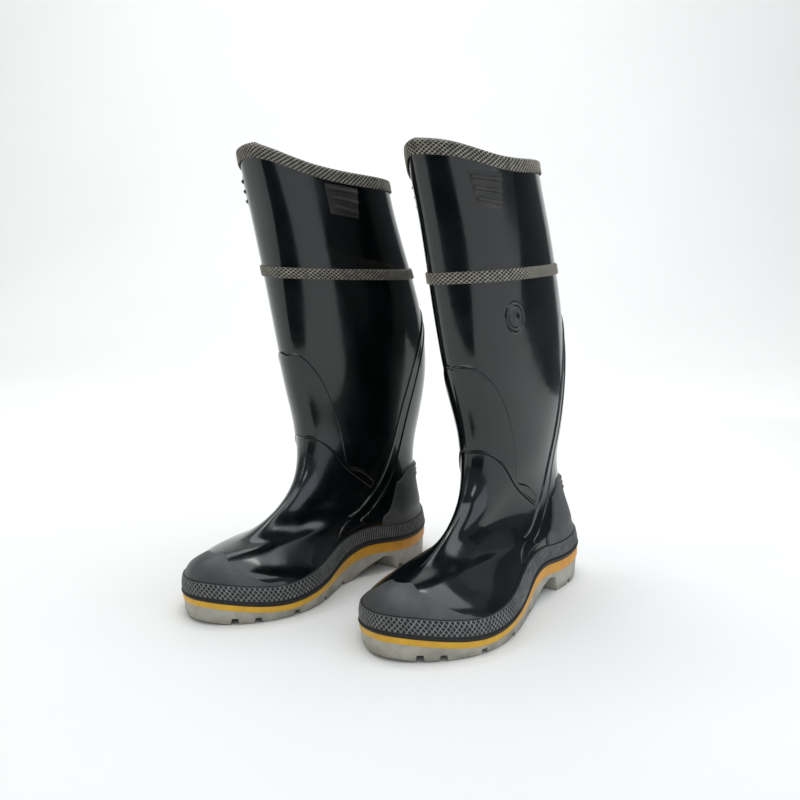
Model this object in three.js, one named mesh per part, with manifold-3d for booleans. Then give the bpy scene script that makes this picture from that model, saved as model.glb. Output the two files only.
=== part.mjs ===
// A pair of knee-high PVC fire boots with steel toe caps and midsoles, in millimetres with +Z up.
// A place on a boot is given by a, forward from the back of the heel, b, towards the boot's outer
// side, and z, up from the floor. On the boot's skin it is given by phi, the angle round the leg,
// which is 0 at the shin, 90 at the outer side, 180 at the calf and -90 at the inner side, and z.
import * as THREE from "three";
import { mergeVertices } from "three/addons/utils/BufferGeometryUtils.js";
import Module from "manifold-3d";

const wasm = await Module();
wasm.setup();

// Overall sizes
const soleLength = 300;
const legHeight = 402; // floor to the top of the binding over the shin
const footWidth = 112; // across the ball of the foot
const legWidth = 97; // across the top of the leg
const bootSpacing = 168; // between the middles of the two boots
const stagger = -22; // how far the left boot stands ahead of the right one
const toeOut = 2.5; // degrees that each boot turns outwards

// Walls, layers and trims
const gap = 0.4; // between pieces that touch
const wall = 2.6; // PVC of the leg and the foot
const liningThickness = 1.6;
const bindingHeight = 9.2;
const bindingThickness = 1.4;
const bandHeight = 9.6;
const bandThickness = 1.3;
const bandLevel = 291; // middle of the band round the calf
const bandTilt = 3; // how much higher the band runs in front than on average
const foxingHeight = 15.5; // rubber band round the foot above the sole
const foxingThickness = 3;
const flange = 2.6; // how far the sole stands outside the leg's skin
const stripeToe = 6.8; // thickness of the yellow midsole at its edge
const stripeHeel = 11.5;
const bumperThickness = 2;
const counterThickness = 2.2;
const overlayThickness = 1.8;
const strapWidth = 13;
const grooveDepth = 5;
const plateThickness = 1;
const boardThickness = 2;
const insoleThickness = 4;
const capThickness = 1.8;
const insolePlay = 0.8; // room round the loose insole inside the lining
const capEdgeWidth = 7;

// Mesh fineness
const columns = 24; // facets round the leg
const soleColumns = 32; // facets round the sole's outline
const soleSteps = 18; // facets along the sole

const degrees = Math.PI / 180;
const clamp = (x, low, high) => Math.min(high, Math.max(low, x));
const mix = (x, y, t) => x + (y - x) * t;

function smooth(x, low, high) {
  const t = clamp((x - low) / (high - low), 0, 1);
  return t * t * (3 - 2 * t);
}

// A natural cubic spline through the points, as a function of x.
function spline(xs, ys) {
  const last = xs.length - 1;
  const bend = new Array(last + 1).fill(0);
  const share = new Array(last + 1).fill(0);
  for (let i = 1; i < last; i++) {
    const left = xs[i] - xs[i - 1];
    const right = xs[i + 1] - xs[i];
    const slopes = (ys[i + 1] - ys[i]) / right - (ys[i] - ys[i - 1]) / left;
    const pivot = 2 * (left + right) - left * share[i - 1];
    share[i] = right / pivot;
    bend[i] = (6 * slopes - left * bend[i - 1]) / pivot;
  }
  for (let i = last - 1; i > 0; i--) bend[i] -= share[i] * bend[i + 1];
  return (x) => {
    let i = 0;
    while (i < last - 1 && x > xs[i + 1]) i++;
    const h = xs[i + 1] - xs[i];
    const u = (xs[i + 1] - x) / h;
    const v = 1 - u;
    const curve = (u ** 3 - u) * bend[i] + (v ** 3 - v) * bend[i + 1];
    return u * ys[i] + v * ys[i + 1] + (curve * h * h) / 6;
  };
}

// Leg heights stretch with legHeight above the ankle, and the foot keeps its own.
const ankle = 142;
const stretch = (z) => (z < ankle ? z : ankle + ((z - ankle) * (legHeight - ankle)) / (402 - ankle));
const along = (a) => (a * soleLength) / 300;
const across = (b) => (b * footWidth) / 112;
const acrossLeg = (b) => (b * legWidth) / 97;

// An outline curve in the middle plane, as a(z): a smooth line through [a, z] points.
function outline(points) {
  const as = points.map(([a]) => along(a));
  const zs = points.map(([, z]) => stretch(z));
  const ts = [0];
  for (let i = 1; i < points.length; i++) {
    ts.push(ts[i - 1] + Math.hypot(as[i] - as[i - 1], zs[i] - zs[i - 1]) ** 0.7);
  }
  const aOf = spline(ts, as);
  const zOf = spline(ts, zs);
  const steps = 300;
  const table = [];
  for (let i = 0; i <= steps; i++) {
    const t = (ts[ts.length - 1] * i) / steps;
    table.push([aOf(t), Math.max(zOf(t), i ? table[i - 1][1] + 1e-6 : -1e3)]);
  }
  return (z) => {
    let i = 0;
    while (i < steps - 1 && z > table[i + 1][1]) i++;
    const t = clamp((z - table[i][1]) / (table[i + 1][1] - table[i][1]), 0, 1);
    return mix(table[i][0], table[i + 1][0], t);
  };
}

// Shape of the boot in its middle plane: toe, vamp, shin, then heel and calf
const frontLine = outline([
  [298, 12], [299, 27], [298, 42], [284, 53.5], [254, 58.5], [211, 72.5], [172, 103],
  [165, 142], [173, 176], [184, 222], [194.5, 280], [205, 332], [219, 385], [225, 407],
]);
const backLine = outline([
  [0, 20], [2, 42], [13, 62], [22.5, 88], [21, 118], [12.5, 155], [8.5, 190],
  [16, 235], [34, 280], [53.5, 325], [68, 365], [73, 385],
]);

// Half widths of the sole against cos(phi), and of the leg against height
const soleStations = [-1, -0.75, -0.4, 0, 0.3, 0.6, 0.85, 1];
const soleOuter = spline(soleStations, [68, 61.5, 47.5, 49, 62.5, 75, 76, 65].map(across));
const soleInner = spline(soleStations, [51, 60, 47, 34.5, 52.5, 67, 69, 63].map(across));
const legStations = [35, 65, 95, 135, 175, 225, 275, 325, 380].map(stretch);
const legOuter = spline(legStations, [46, 39, 36.5, 39.5, 43.5, 48, 52, 54.5, 54].map(acrossLeg));
const legInner = spline(legStations, [47, 40, 36, 38.5, 43.5, 47, 49, 47, 45].map(acrossLeg));
const toeFall = 0.9; // how much the sides of the toe close in towards the crest
const legSkew = { outer: 0, inner: -0.4 };

const legShift = (z) => mix(-4, 2.6, clamp((z - 60) / (legHeight - 72), 0, 1)); // outwards

// Height of the yellow midsole's upper edge along the foot, and of the top edge round the leg
const soleLine = spline(
  [0, 40, 80, 115, 155, 200, 250, 300].map(along),
  [32.5, 31.5, 30.5, 32.5, 25, 17.5, 14.3, 23],
);
const topStations = [0, 30, 60, 90, 120, 150, 180, 210];
const topEdge = spline(topStations, [402, 397.5, 387, 380, 376.5, 373.5, 372, 373.5].map(stretch));

// Each boot's soft leg stands with a small lean of its own, in degrees forwards and outwards.
const boots = {
  right: { name: "right", side: -1, forwards: 1, outwards: -3.2 },
  left: { name: "left", side: 1, forwards: 3.7, outwards: -2 },
};

// The boot's skin at phi (degrees) and z, in the boot's own frame, before any offset.
function skinPoint(boot, phi, z) {
  const c = Math.cos(phi * degrees);
  const s = Math.sin(phi * degrees);
  const front = frontLine(z);
  const back = backLine(z);
  const leg = smooth(z, 32, 132);
  const fall = 1 - toeFall * smooth(z, 24, 80) * smooth(c, -0.5, 0.6);
  const sole = (s >= 0 ? soleOuter : soleInner)(c) * fall;
  const skew = s >= 0 ? legSkew.outer : legSkew.inner;
  const shaft = (s >= 0 ? legOuter : legInner)(Math.max(z, 35)) * (1 + skew * c);
  const a = (front + back) / 2 + ((front - back) / 2) * c;
  const b = mix(sole, shaft, leg) * s + legShift(z) * leg;
  return leaned(boot, a, b, z);
}

function leaned(boot, a, b, z) {
  const share = smooth(z, 110, 230);
  const forwards = boot.forwards * degrees * share;
  const outwards = boot.outwards * degrees * share;
  const rise = z - ankle;
  return place(
    boot,
    a + rise * Math.tan(forwards),
    b + rise * Math.tan(outwards),
    z - (a - along(90)) * Math.sin(forwards) - b * Math.sin(outwards),
  );
}

// a, b, z as a point of the boot's own frame: toes towards -Y, origin under the middle of the sole.
const place = (boot, a, b, z) => new THREE.Vector3(boot.side * b, soleLength / 2 - a, z);

function skin(boot, phi, z, depth) {
  const offset = typeof depth === "function" ? depth(phi, z) : depth;
  const here = skinPoint(boot, phi, z);
  const round = skinPoint(boot, phi + 0.5, z).sub(skinPoint(boot, phi - 0.5, z));
  const up = skinPoint(boot, phi, z + 0.5).sub(skinPoint(boot, phi, z - 0.5));
  const normal = round.cross(up).normalize().multiplyScalar(boot.side);
  return here.addScaledVector(normal, offset);
}

// Forward place a of the skin at phi and z.
function forwardAt(phi, z) {
  const front = frontLine(z);
  const back = backLine(z);
  return (front + back) / 2 + ((front - back) / 2) * Math.cos(phi * degrees);
}

// Heights of lines that run round the boot, as functions of phi
function soleEdge(phi) {
  let z = 22;
  for (let i = 0; i < 6; i++) z = soleLine(forwardAt(phi, z));
  return z;
}
const foxingTop = (phi) => soleEdge(phi) + foxingHeight;
const rimRise = 4.5; // how much higher the top edge stands behind the outer side
function rim(phi) {
  const turn = wrap(phi);
  const rise = rimRise * smooth(turn, 60, 120) * (1 - smooth(turn, 150, 180));
  return topEdge(Math.abs(turn)) + rise - 2 * gap - bindingThickness;
}
const wrap = (phi) => ((((phi + 180) % 360) + 360) % 360) - 180;
const riseTo = (share) => (phi) => mix(soleEdge(phi) + gap, rim(phi), share);

// A closed mesh from rows of points; each face is listed anticlockwise seen from outside.
function solidFrom(points, faces) {
  const geometry = new THREE.BufferGeometry();
  const flat = faces.flatMap((face) => face.flatMap((i) => points[i].toArray()));
  geometry.setAttribute("position", new THREE.Float32BufferAttribute(flat, 3));
  return manifold(geometry);
}

function manifold(geometry) {
  const bare = geometry.clone();
  bare.deleteAttribute("normal");
  bare.deleteAttribute("uv");
  const merged = mergeVertices(bare, 1e-4);
  const mesh = new wasm.Mesh({
    numProp: 3,
    vertProperties: merged.attributes.position.array,
    triVerts: new Uint32Array(merged.index.array),
  });
  return new wasm.Manifold(mesh);
}

// Joins a grid of points (rows by columns) into quads; wrapped grids close on themselves.
function gridFaces(rows, cols, closeRows, closeCols, start = 0) {
  const faces = [];
  for (let r = 0; r < rows - (closeRows ? 0 : 1); r++) {
    for (let c = 0; c < cols - (closeCols ? 0 : 1); c++) {
      const r1 = (r + 1) % rows;
      const c1 = (c + 1) % cols;
      const [p, q, s, t] = [[r, c], [r, c1], [r1, c1], [r1, c]].map(([i, j]) => start + i * cols + j);
      faces.push([p, q, s], [p, s, t]);
    }
  }
  return faces;
}

const flipped = (faces) => faces.map(([p, q, s]) => [p, s, q]);

// Turns the faces round where a boot is mirrored or a grid ran the other way.
function outward(points, faces) {
  const solid = solidFrom(points, faces);
  return solid.volume() < 0 ? solidFrom(points, flipped(faces)) : solid;
}

const ringAngles = Array.from({ length: columns }, (_, i) => (360 * i) / columns - 180);

// A ring round the boot: its section is a list of [height function, offset] points.
function ring(boot, section, angles = ringAngles) {
  const points = angles.flatMap((phi) =>
    section.map(([height, offset]) => skin(boot, phi, height(phi), offset)),
  );
  return outward(points, gridFaces(angles.length, section.length, true, true));
}

// The filled body inside the skin at one offset, from one height line to another.
function filled(boot, lines, offset) {
  const points = lines.flatMap((height) => ringAngles.map((phi) => skin(boot, phi, height(phi), offset)));
  const faces = gridFaces(lines.length, columns, false, true);
  const low = points.push(centre(points.slice(0, columns))) - 1;
  const high = points.push(centre(points.slice(columns * (lines.length - 1)))) - 1;
  const first = columns * (lines.length - 1);
  for (let c = 0; c < columns; c++) {
    const next = (c + 1) % columns;
    faces.push([low, next, c], [high, first + c, first + next]);
  }
  return outward(points, faces);
}

function centre(points) {
  const sum = new THREE.Vector3();
  points.forEach((point) => sum.add(point));
  return sum.divideScalar(points.length);
}

// A slab lying on the skin between two offsets; places(u, v) gives phi and z for u, v from 0 to 1.
function slab(boot, places, wide, up, inside, outside) {
  const points = [];
  for (const offset of [inside, outside]) {
    for (let j = 0; j <= up; j++) {
      for (let i = 0; i <= wide; i++) {
        const [phi, z] = places(i / wide, j / up);
        points.push(skin(boot, phi, z, offset));
      }
    }
  }
  const cols = wide + 1;
  const size = cols * (up + 1);
  const faces = flipped(gridFaces(up + 1, cols, false, false));
  faces.push(...gridFaces(up + 1, cols, false, false, size));
  const rimLoop = [];
  for (let i = 0; i < wide; i++) rimLoop.push(i);
  for (let j = 0; j < up; j++) rimLoop.push(j * cols + wide);
  for (let i = wide; i > 0; i--) rimLoop.push(up * cols + i);
  for (let j = up; j > 0; j--) rimLoop.push(j * cols);
  rimLoop.forEach((p, k) => {
    const q = rimLoop[(k + 1) % rimLoop.length];
    faces.push([p, q, q + size], [p, q + size, p + size]);
  });
  return outward(points, faces);
}

// A strip of one width along a smooth path of [phi, z] points on the skin.
function strip(boot, path, width, steps, inside, outside) {
  const ts = path.map((_, i) => i);
  const phiOf = spline(ts, path.map(([phi]) => phi));
  const zOf = spline(ts, path.map(([, z]) => z));
  const reach = path.length - 1;
  const places = (u, v) => {
    const t = u * reach;
    const here = skinPoint(boot, phiOf(t), zOf(t));
    const ahead = skinPoint(boot, phiOf(t + 0.01), zOf(t + 0.01)).sub(here).normalize();
    const round = skinPoint(boot, phiOf(t) + 0.5, zOf(t)).sub(here).multiplyScalar(2);
    const up = skinPoint(boot, phiOf(t), zOf(t) + 0.5).sub(here).multiplyScalar(2);
    // The direction across the path, solved in the skin's own two directions.
    const [rr, ru, uu] = [round.dot(round), round.dot(up), up.dot(up)];
    const [ra, ua] = [round.dot(ahead), up.dot(ahead)];
    const side = { round: -ua, up: ra };
    const length = Math.sqrt(side.round ** 2 * rr + 2 * side.round * side.up * ru + side.up ** 2 * uu);
    const step = ((v - 0.5) * width) / length;
    return [phiOf(t) + side.round * step, zOf(t) + side.up * step];
  };
  return slab(boot, places, steps, 1, inside, outside);
}

// The height lines of the leg's mesh: some are shares of the way from the sole to the rim, and the
// others lie where the foxing, the band and the binding end, so that those seat on whole facets.
const bandMiddle = (phi) => stretch(bandLevel) + bandTilt * Math.cos(phi * degrees);
const legLines = [
  (phi) => soleEdge(phi) - 20,
  (phi) => soleEdge(phi) - 2,
  foxingTop,
  ...[0.073, 0.1, 0.14, 0.2, 0.28, 0.4, 0.55].map(riseTo),
  (phi) => bandMiddle(phi) - bandHeight / 2,
  (phi) => bandMiddle(phi) + bandHeight / 2,
  (phi) => rim(phi) - bindingHeight,
  rim,
];
const openTop = [(phi) => soleEdge(phi) - 30, ...legLines.slice(1), (phi) => rim(phi) + 30];

function makeUpper(boot) {
  return filled(boot, legLines, 0).subtract(filled(boot, openTop, -wall)).intersect(above(gap));
}

// Everything inside the skin grown by an offset, which is cut from what lies on the skin.
const skinCutter = (boot, offset) => filled(boot, openTop, offset);

// Layers under and round the foot, counted up from the midsole
const plateStart = 2 * gap;
const boardStart = plateStart + plateThickness + gap;
const liningStart = boardStart + boardThickness + gap;
const insoleStart = liningStart + liningThickness + 2 * gap;
const capBack = along(244); // rear edge of the steel toe cap

// Depth of the lining's outer face under the skin: it makes room for the steel cap over the toes.
function liningDepth(phi, z) {
  const cap = smooth(forwardAt(phi, z), capBack - 70, capBack - 40) * (1 - smooth(z, 100, 125));
  return -wall - 1.5 * gap - cap * (capThickness + gap);
}
const deeper = (depth, extra) => (phi, z) => depth(phi, z) - extra;
const wallDepth = () => -wall;

function makeLining(boot) {
  const outer = filled(boot, legLines, liningDepth).intersect(above(liningStart));
  const hollow = filled(boot, openTop, deeper(liningDepth, liningThickness));
  return outer.subtract(hollow.intersect(above(liningStart + liningThickness)));
}

function makeBinding(boot) {
  const low = (phi) => rim(phi) - bindingHeight;
  const high = (phi) => rim(phi) + 2 * gap;
  const over = (phi) => rim(phi) + 2 * gap + bindingThickness;
  const inside = -wall - 1.5 * gap - liningThickness - gap;
  return ring(boot, [
    [low, gap],
    [low, gap + bindingThickness],
    [over, gap + bindingThickness],
    [over, inside - bindingThickness],
    [low, inside - bindingThickness],
    [low, inside],
    [high, inside],
    [high, gap],
  ]);
}

function makeBand(boot) {
  const low = (phi) => bandMiddle(phi) - bandHeight / 2;
  const high = (phi) => bandMiddle(phi) + bandHeight / 2;
  const outside = gap + bandThickness;
  return ring(boot, [[low, gap], [high, gap], [high, outside], [low, outside]]);
}

// The rubber foxing stands on the midsole's edge, thickest at its lower lip.
function makeFoxing(boot) {
  const low = (phi) => soleEdge(phi) - 2;
  const middle = (phi) => soleEdge(phi) + foxingHeight * 0.3;
  const lip = flange + 1;
  const whole = ring(boot, [
    [low, gap],
    [foxingTop, gap],
    [foxingTop, foxingThickness],
    [middle, lip],
    [low, lip],
  ]);
  return whole.intersect(above(gap));
}

// What is cut from the pieces above the foxing, so that they end just over it
function foxingCutter(boot) {
  const low = (phi) => soleEdge(phi) - 10;
  const high = (phi) => foxingTop(phi) + 2 * gap;
  return ring(boot, [[low, -2], [low, 9], [high, 9], [high, -2]]);
}

// The rubber bumper wraps the front of the toe above the foxing.
const bumperReach = 52; // degrees each side of the toe
const bumperCrest = 55.5;
function makeBumper(boot, cutters) {
  const reach = bumperReach;
  const end = soleEdge(reach) + foxingHeight;
  const crest = (phi) => mix(bumperCrest, end, smooth(Math.abs(phi), 12, reach) ** 1.3);
  const low = (phi) => foxingTop(phi) - 2;
  const places = (u, v) => {
    const phi = mix(-reach, reach, u);
    return [phi, mix(low(phi), Math.max(crest(phi), low(phi) + 3), v)];
  };
  return cut(slab(boot, places, 12, 3, -1, bumperThickness), cutters);
}

// The ribbed counter cups the heel from one side of the ankle to the other.
const counterFront = 110; // degrees
const counterLow = 86; // height of its upper edge at the sides
const counterRise = 14; // and how much higher it stands behind the heel
const counterFacets = 14;
const counterTop = (phi) => {
  const back = smooth(180 - Math.abs(180 - phi), counterFront, counterFront + 16);
  return counterLow + counterRise * back;
};
const ribs = { count: 3, pitch: 4.5, first: 3.5, half: 1, from: 136, to: 224, height: 1.4 };
function makeCounter(boot, cutters) {
  const places = (from, to, low, high) => (u, v) => {
    const phi = mix(from, to, u);
    return [phi, mix(low(phi), high(phi), v)];
  };
  const turn = 360 - counterFront;
  const whole = places(counterFront, turn, (phi) => foxingTop(phi) - 2, counterTop);
  let counter = slab(boot, whole, counterFacets, 3, -1, counterThickness);
  for (let i = 0; i < ribs.count; i++) {
    const drop = ribs.first + i * ribs.pitch;
    const low = (phi) => counterTop(phi) - drop - ribs.half;
    const high = (phi) => counterTop(phi) - drop + ribs.half;
    const rib = places(ribs.from, ribs.to, low, high);
    counter = counter.add(slab(boot, rib, 5, 1, -1, counterThickness + ribs.height));
  }
  return cut(counter, cutters);
}

// A short ledge on the counter, to push the boot off with the other foot.
const spur = { half: 22, low: 57, high: 64, edge: 1, reach: 4.5 };
function makeSpur(boot) {
  const places = (u, v) => [mix(180 - spur.half, 180 + spur.half, u), mix(spur.low, spur.high, v)];
  const inside = counterThickness + 2 * gap;
  const swell = (phi) => smooth(Math.abs(phi - 180), spur.half, spur.half / 3);
  const outside = (phi) => inside + mix(spur.edge, spur.reach, swell(phi));
  return slab(boot, places, 6, 1, inside, outside);
}

const cut = (solid, cutters) => cutters.reduce((left, cutter) => left.subtract(cutter), solid);

// The instep guard saddles the shin and the instep; its edges are lines over phi.
const guardTurns = [0, 24, 34, 42, 48, 54, 70, 90];
const guardHigh = spline(guardTurns, [221, 218, 206, 186, 155, 127, 107, 93].map(stretch));
const guardLow = spline([0, 33, 54, 75, 91], [138, 132, 112, 95, 83]);
const guardReach = 91; // degrees each side of the shin
function makeGuard(boot, cutters) {
  const places = (u, v) => {
    const phi = mix(-guardReach, guardReach, u);
    return [phi, mix(guardLow(Math.abs(phi)), guardHigh(Math.abs(phi)), v)];
  };
  return cut(slab(boot, places, 12, 3, -1, overlayThickness), cutters);
}

// The strap comes up from the waist on each side, leans back and meets itself behind the calf.
const strapTop = [180, stretch(256)];
const strapHalf = [
  [91, 42], [96, 66], [101, 96], [103, 130], [108, 168], [122, 212], [146, 246],
].map(([phi, z]) => [phi, stretch(z)]);
const strapPath = [...strapHalf, strapTop, ...strapHalf.map(([phi, z]) => [360 - phi, z]).reverse()];
const strapSteps = 30;
function makeStrap(boot, cutters) {
  return cut(strip(boot, strapPath, strapWidth, strapSteps, -1, overlayThickness), cutters);
}
const strapCutter = (boot) => strip(boot, strapPath, strapWidth + 2 * gap, strapSteps, -3, 6);

// Three short bars on a thin pad on each side near the top, for pulling the boot on. The inner
// side's pad lies further back round the leg. Bars are [phi, z] from end to end, and the pad's
// corners are given from front to back, low edge first.
const grip = { pad: 0.7, bar: 1.9, barWidth: 3 };
const grips = {
  outer: {
    turn: 1,
    bars: [[[40, 371], [61, 367]], [[41, 362.5], [60, 358]], [[42, 354], [58, 349.5]]],
    corners: [[39, 347.5], [59, 343.5], [37, 376.5], [64, 372.5]],
  },
  inner: {
    turn: -1,
    bars: [[[69, 367], [89, 363]], [[71, 359], [88, 354.5]], [[72, 351], [86, 346]]],
    corners: [[66, 344.5], [87, 340], [66, 371.5], [91, 367]],
  },
};
function makeGrip(boot, { turn, bars, corners }, cutters) {
  const [lowFront, lowBack, highFront, highBack] = corners;
  const places = (u, v) => {
    const low = lowFront.map((start, i) => mix(start, lowBack[i], u));
    const high = highFront.map((start, i) => mix(start, highBack[i], u));
    return [turn * mix(low[0], high[0], v), stretch(mix(low[1], high[1], v))];
  };
  let pad = slab(boot, places, 3, 2, -1, grip.pad);
  for (const bar of bars) {
    const path = bar.map(([phi, z]) => [turn * phi, stretch(z)]);
    pad = pad.add(strip(boot, path, grip.barWidth, 2, -0.5, grip.bar));
  }
  return cut(pad, cutters);
}

// A plain oval plaque on the outer side of the leg.
const emblemAt = { phi: 58, z: stretch(257), wide: 24, high: 30, thickness: 1.6 };
function makeEmblem(boot, cutters) {
  const middle = skinPoint(boot, emblemAt.phi, emblemAt.z);
  const degree = skinPoint(boot, emblemAt.phi + 1, emblemAt.z).distanceTo(middle);
  const places = (u, v) => {
    const x = 2 * u - 1;
    const y = 2 * v - 1;
    const round = x * Math.sqrt(1 - (y * y) / 2);
    const up = y * Math.sqrt(1 - (x * x) / 2);
    return [emblemAt.phi + (round * emblemAt.wide) / 2 / degree, emblemAt.z + (up * emblemAt.high) / 2];
  };
  return cut(slab(boot, places, 4, 4, -1, emblemAt.thickness), cutters);
}

// Plan outline of the boot where it meets the sole, standing out by an offset, as a prism.
function solePrism(boot, offset, low, high) {
  const shape = new THREE.Shape();
  for (let i = 0; i < soleColumns; i++) {
    const phi = (360 * i) / soleColumns;
    const edge = skin(boot, phi, soleEdge(phi), offset);
    if (i) shape.lineTo(edge.x, edge.y);
    else shape.moveTo(edge.x, edge.y);
  }
  shape.closePath();
  const geometry = new THREE.ExtrudeGeometry(shape, { depth: high - low, bevelEnabled: false });
  geometry.translate(0, 0, low);
  return manifold(geometry);
}

// A prism across the boot whose section is given in a and z.
function crossPrism(points, halfWidth = 100) {
  const shape = new THREE.Shape(points.map(([a, z]) => new THREE.Vector2(soleLength / 2 - a, z)));
  const geometry = new THREE.ExtrudeGeometry(shape, { depth: 2 * halfWidth, bevelEnabled: false });
  geometry.translate(0, 0, -halfWidth);
  // The section is drawn in X and Y and pushed along Z: turn it to stand in Y and Z along X.
  const turn = new THREE.Matrix4().set(0, 0, 1, 0, 1, 0, 0, 0, 0, 1, 0, 0, 0, 0, 0, 1);
  geometry.applyMatrix4(turn);
  return manifold(geometry);
}

// Everything between two lines over the sole from one station to another
const beyond = 12;
function layer(top, low, from = -beyond, to = soleLength + beyond, steps = soleSteps) {
  const line = (height) => Array.from({ length: steps + 1 }, (_, i) => {
    const a = mix(from, to, i / steps);
    return [a, height(a)];
  });
  return crossPrism([...line(top), ...line(low).reverse()]);
}

const raised = (rise) => (a) => midsoleTop(a) + rise;

// Everything over the midsole's upper face, from a rise above it
const above = (rise) => layer(() => legHeight + 60, raised(rise));

const midsoleTop = (a) => soleLine(clamp(a, 0, soleLength));
const stripeThickness = (a) => mix(stripeHeel, stripeToe, smooth(a, along(140), along(215)));
const midsoleLow = (a) => midsoleTop(a) - stripeThickness(a);

const shank = { from: along(72), to: along(168), width: 24, thickness: 1.6 };
function shankBlock(grow) {
  const block = new THREE.BoxGeometry(shank.width + 2 * grow, shank.to - shank.from + 2 * grow, 200);
  block.translate(0, soleLength / 2 - (shank.from + shank.to) / 2, 0);
  return manifold(block);
}

function makeMidsole(boot) {
  const whole = solePrism(boot, flange, -5, 80).intersect(layer(midsoleTop, midsoleLow));
  const pocket = layer(raised(1), raised(-shank.thickness - gap)).intersect(shankBlock(gap));
  return whole.subtract(pocket);
}

const makeShank = () => layer(midsoleTop, raised(-shank.thickness)).intersect(shankBlock(0));

// Underside of the outsole: heel, breast, arch, forefoot and the rise under the toes
const heelBreast = along(82);
const archEnd = along(138);
const ground = [
  [-beyond, 3],
  [4, 0],
  [heelBreast, 0],
  [heelBreast + 4, 14],
  [heelBreast + 16, 16],
  [archEnd - 16, 7],
  [archEnd, 0],
  [along(272), 0],
  [along(290), 1.2],
  [soleLength, 3.5],
  [soleLength + beyond, 8],
];
const groundAt = (a) => {
  const i = ground.findIndex(([end]) => end >= a);
  const [[from, low], [to, high]] = [ground[i - 1], ground[i]];
  return mix(low, high, (a - from) / (to - from));
};

// Notches between the lugs open on each side of the sole, and each narrows upwards and inwards.
const notches = {
  outer: [58, 151, 206, 248.5, 279, 291].map(along),
  inner: [78, 153, 194, 235, 270, 285.5].map(along),
};
const notch = { wide: 8.5, narrow: 5.5, deep: 22, outside: 8 };
const notchTaper = 0.7; // width at its deep end as a share of the width at the edge

// The turn round the leg, on one side of the sole, whose edge lies at a place a.
function turnAt(a) {
  let phi = 90;
  for (let i = 0; i < 20; i++) {
    const z = soleEdge(phi);
    const half = (frontLine(z) - backLine(z)) / 2;
    phi = Math.acos(clamp((a - backLine(z) - half) / half, -1, 1)) / degrees;
  }
  return phi;
}

function notchWedge(boot, sign, a) {
  const phi = sign * turnAt(a);
  const z = soleEdge(phi);
  const here = skinPoint(boot, phi, z).setZ(0);
  const ahead = skinPoint(boot, phi + 1, z).sub(skinPoint(boot, phi - 1, z)).setZ(0).normalize();
  const inwards = new THREE.Vector3(-ahead.y, ahead.x, 0);
  if (inwards.dot(here) > 0) inwards.negate();
  const corners = [];
  for (const [reach, shrink] of [[-notch.outside, 1], [notch.deep, notchTaper]]) {
    for (const [half, height] of [
      [notch.wide * 0.6, -grooveDepth], [notch.wide / 2, 0], [notch.narrow / 2, groundAt(a) + grooveDepth],
    ]) {
      for (const way of [-1, 1]) {
        const corner = here.clone().addScaledVector(inwards, reach);
        corner.addScaledVector(ahead, way * half * shrink).setZ(height);
        corners.push(corner.toArray());
      }
    }
  }
  return wasm.Manifold.hull(corners);
}

function makeOutsole(boot) {
  const under = crossPrism([...ground, [soleLength + beyond, 90], [-beyond, 90]]);
  const body = solePrism(boot, flange - 0.6, -5, 80).intersect(under);
  let sole = body.intersect(layer((a) => midsoleLow(a) - gap, () => -20));
  for (const a of notches.outer) sole = sole.subtract(notchWedge(boot, 1, a));
  for (const a of notches.inner) sole = sole.subtract(notchWedge(boot, -1, a));
  return sole;
}

// Thin layers lie on the midsole under the foot, inside the wall of the upper.
const bedInset = wall + 2.2;
function bedLayer(boot, inset, start, thickness) {
  const between = layer(raised(start + thickness), raised(start));
  return solePrism(boot, -inset, -5, 90).intersect(between);
}

const insideWall = (boot) => filled(boot, legLines, deeper(wallDepth, 2 * gap));
function makePlate(boot) {
  return bedLayer(boot, bedInset, plateStart, plateThickness).intersect(insideWall(boot));
}
function makeBoard(boot) {
  return bedLayer(boot, bedInset, boardStart, boardThickness).intersect(insideWall(boot));
}

function makeInsole(boot) {
  const body = bedLayer(boot, bedInset + liningThickness, insoleStart, insoleThickness);
  return body.intersect(filled(boot, legLines, deeper(liningDepth, liningThickness + insolePlay)));
}

// The steel cap lies between the PVC and the lining over the toes, with a soft strip on its rear edge.
function capShell(boot, from, to, thickness) {
  const outer = filled(boot, legLines, deeper(wallDepth, gap));
  const shell = outer.subtract(filled(boot, openTop, deeper(wallDepth, gap + thickness)));
  const block = new THREE.BoxGeometry(300, to - from, 300);
  block.translate(0, soleLength / 2 - (from + to) / 2, 0);
  return shell.intersect(manifold(block)).intersect(above(liningStart));
}
const makeToeCap = (boot) => capShell(boot, capBack, soleLength + 20, capThickness);
const makeCapEdge = (boot) => capShell(boot, capBack - gap - capEdgeWidth, capBack - gap, capThickness);

// Materials
function material(color, roughness, metalness = 0) {
  return new THREE.MeshStandardMaterial({ color, roughness, metalness });
}
const finishes = {
  glossBlack: material(0x14171a, 0.22),
  mattRubber: material(0x2c2d2e, 0.75),
  knurledTrim: material(0x4b4a46, 0.8),
  yellowMidsole: material(0xd9961f, 0.5),
  greySole: material(0x9d9c98, 0.6),
  lining: material(0x8c8a84, 0.95),
  foam: material(0x3b3d40, 0.95),
  board: material(0xb59f7a, 0.9),
  steel: material(0x9fa3a6, 0.35, 1),
};

function toMesh(solid, name, finish) {
  const { vertProperties, triVerts } = solid.getMesh();
  const geometry = new THREE.BufferGeometry();
  geometry.setAttribute("position", new THREE.BufferAttribute(vertProperties, 3));
  geometry.setIndex(new THREE.BufferAttribute(triVerts, 1));
  const faceted = geometry.toNonIndexed();
  faceted.computeVertexNormals();
  const mesh = new THREE.Mesh(faceted, finish);
  mesh.name = name;
  return mesh;
}

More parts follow.
